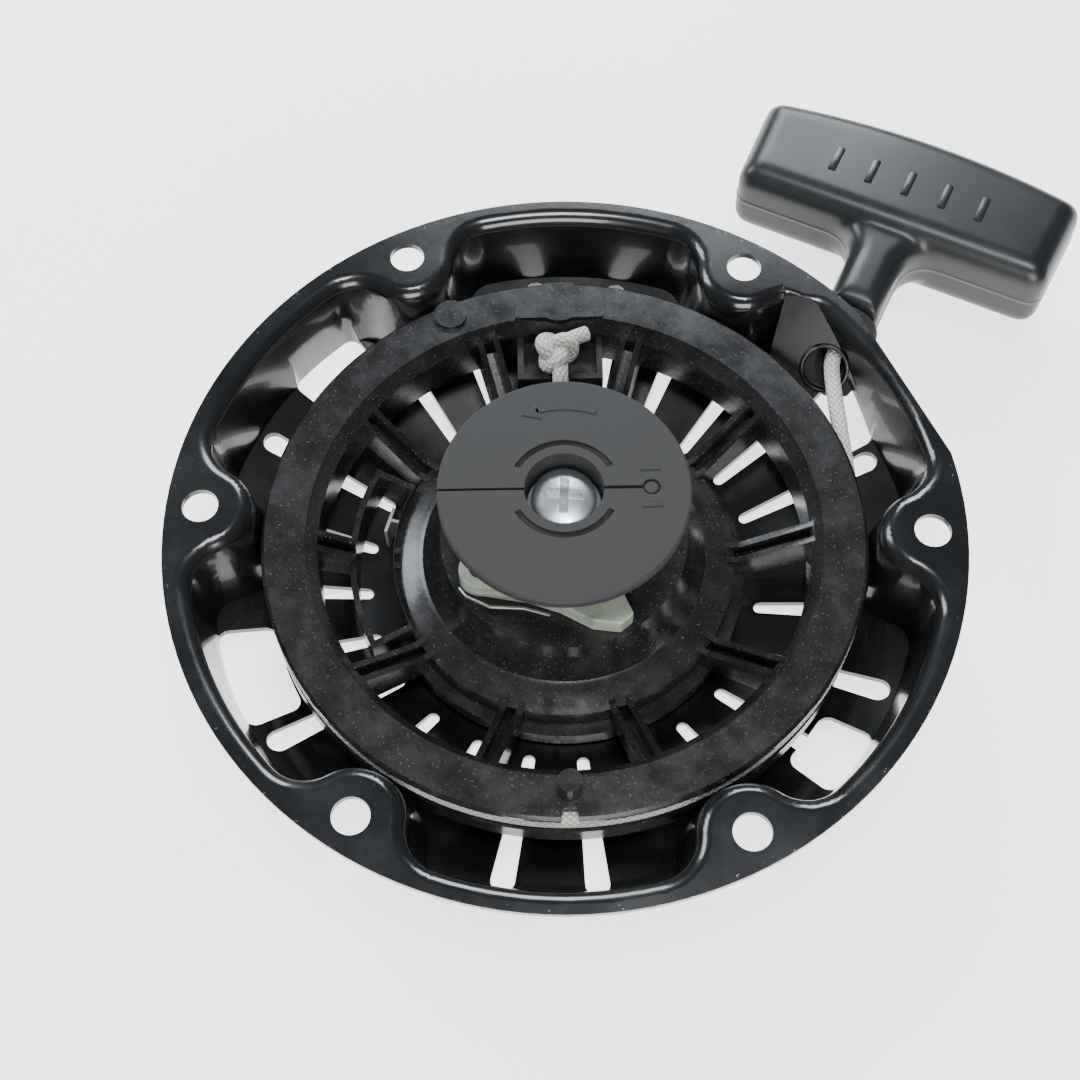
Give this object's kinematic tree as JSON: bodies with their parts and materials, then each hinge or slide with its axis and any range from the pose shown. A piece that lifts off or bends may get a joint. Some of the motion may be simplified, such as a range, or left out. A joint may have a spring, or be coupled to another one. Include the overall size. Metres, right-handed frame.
{
  "type": "recoil starter",
  "caption": "Pull-cord recoil starter for a small engine: dished steel housing with a bolt flange, rope reel with pawls under a round guide, and a T handle.",
  "frame": {"origin": "where the reel's axis meets the mounting face of the flange", "axes": "+Z along the reel's axis from the mounting face towards the engine; +X through one bolt hole; the rope leaves towards +X +Y"},
  "size_m": [0.2358, 0.2373, 0.051],
  "materials": {
    "housing_paint": "gloss black paint",
    "reel_nylon": "satin black glass-filled nylon",
    "guide_nylon": "satin black nylon",
    "zinc_steel": "bright zinc plate",
    "spring_steel": "spring steel",
    "pawl_nylon": "pale natural nylon",
    "rope_braid": "braided nylon cord",
    "bumper_rubber": "black rubber",
    "grip_plastic": "satin slate grey plastic"
  },
  "bodies": {
    "housing": {"housing_shell": "housing_paint", "centre_post": "zinc_steel", "rope_eyelet": "zinc_steel", "rope_bumper": "bumper_rubber", "return_spring": "spring_steel", "rope_lead": "rope_braid", "screw_washer": "zinc_steel", "centre_screw": "zinc_steel", "friction_spring": "spring_steel", "thrust_washer": "zinc_steel"},
    "reel": {"reel": "reel_nylon", "rope_winding": "rope_braid", "rope_tail": "rope_braid", "rope_knot_reel": "rope_braid", "pawl_spring_a": "spring_steel", "pawl_spring_b": "spring_steel"},
    "guide": {"ratchet_guide": "guide_nylon", "guide_pin": "pawl_nylon"},
    "pawl_a_body": {"pawl_a": "pawl_nylon"},
    "pawl_b_body": {"pawl_b": "pawl_nylon"},
    "handle": {"handle_grip": "grip_plastic", "handle_washer": "zinc_steel", "rope_knot_handle": "rope_braid", "rope_pull": "rope_braid"}
  },
  "joints": [
    {"name": "reel_spin", "type": "hinge", "parent": "housing", "child": "reel", "pos_m": [0, 0, 0], "axis": [0, 0, 1], "range_deg": [0, 720], "stiffness_Nm_per_rad": 0.02, "springref_deg": -343.77, "deforming": ["return_spring", "rope_winding", "rope_tail"]},
    {"name": "handle_pull", "type": "slide", "parent": "housing", "child": "handle", "axis": [0.3907, 0.9205, 0], "range_m": [0, 0.916], "deforming": ["rope_pull"]},
    {"name": "guide_turn", "type": "hinge", "parent": "reel", "child": "guide", "pos_m": [0, 0, 0], "axis": [0, 0, 1], "range_deg": [-25, 0]},
    {"name": "pawl_a_swing", "type": "hinge", "parent": "reel", "child": "pawl_a_body", "pos_m": [-0.02013, -0.01307, 0], "axis": [0, 0, 1], "range_deg": [-12, 0], "deforming": ["pawl_spring_a"]},
    {"name": "pawl_b_swing", "type": "hinge", "parent": "reel", "child": "pawl_b_body", "pos_m": [0.02013, 0.01307, 0], "axis": [0, 0, 1], "range_deg": [-12, 0], "deforming": ["pawl_spring_b"]}
  ],
  "couplings": [
    {"joint": "handle_pull", "follows": "reel_spin", "m_per_rad": 0.0729},
    {"joint": "pawl_a_swing", "follows": "guide_turn", "ratio": 0.48},
    {"joint": "pawl_b_swing", "follows": "guide_turn", "ratio": 0.48}
  ]
}
